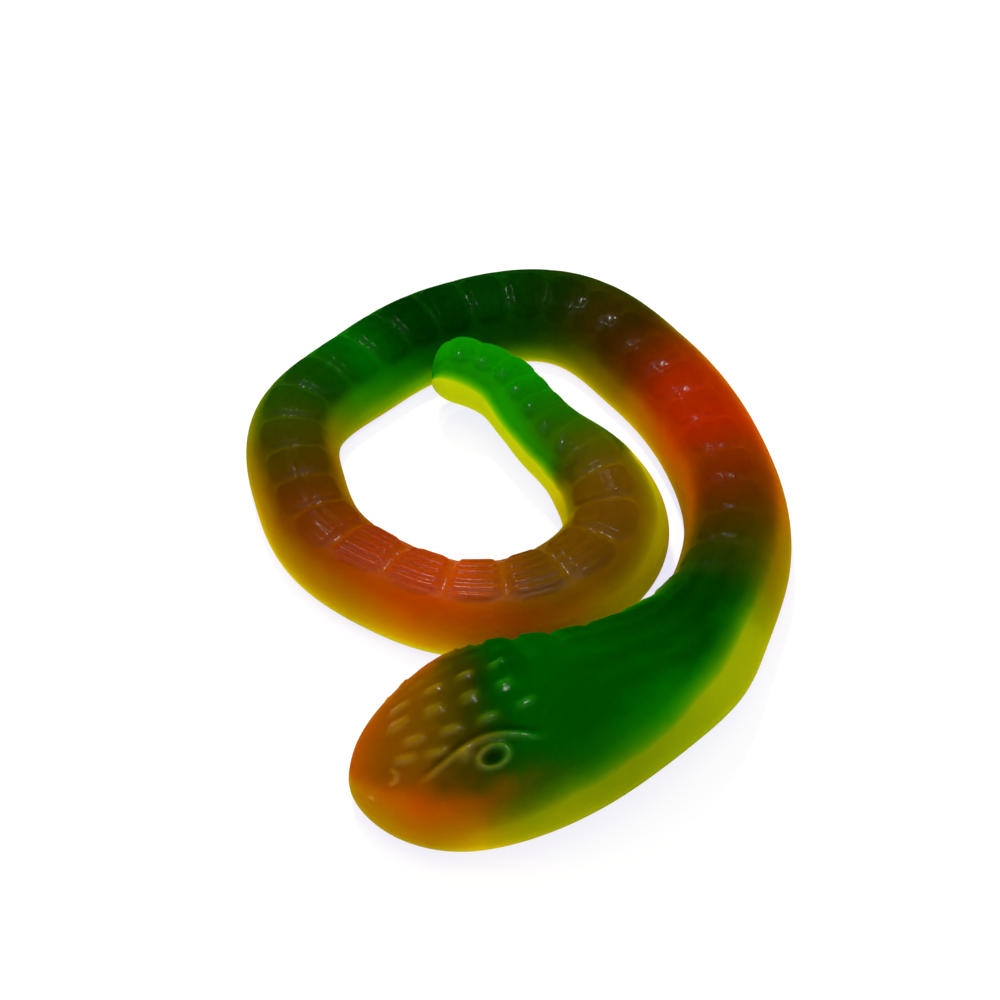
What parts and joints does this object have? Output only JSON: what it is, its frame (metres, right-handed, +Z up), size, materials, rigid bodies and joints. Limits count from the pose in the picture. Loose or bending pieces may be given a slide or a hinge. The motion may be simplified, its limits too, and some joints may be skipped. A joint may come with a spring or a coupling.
{
  "type": "coiled gummy snake candy",
  "caption": "Gummy snake candy lying in a coil: a glossy jelly back in green and red bands with moulded plates and a broad head, on a yellow belly layer.",
  "frame": {"origin": "on the ground under the middle of the whole coil", "axes": "+X to the right and +Y away from the viewer as the picture shows the coil, with the head at -Y; +Z up"},
  "size_m": [0.0698, 0.0978, 0.0165],
  "materials": {
    "jelly": "glossy translucent jelly, banded green, brown and red",
    "belly": "satin opaque yellow jelly"
  },
  "bodies": {
    "root": {"jelly_back": "jelly", "belly_layer": "belly"}
  },
  "joints": []
}
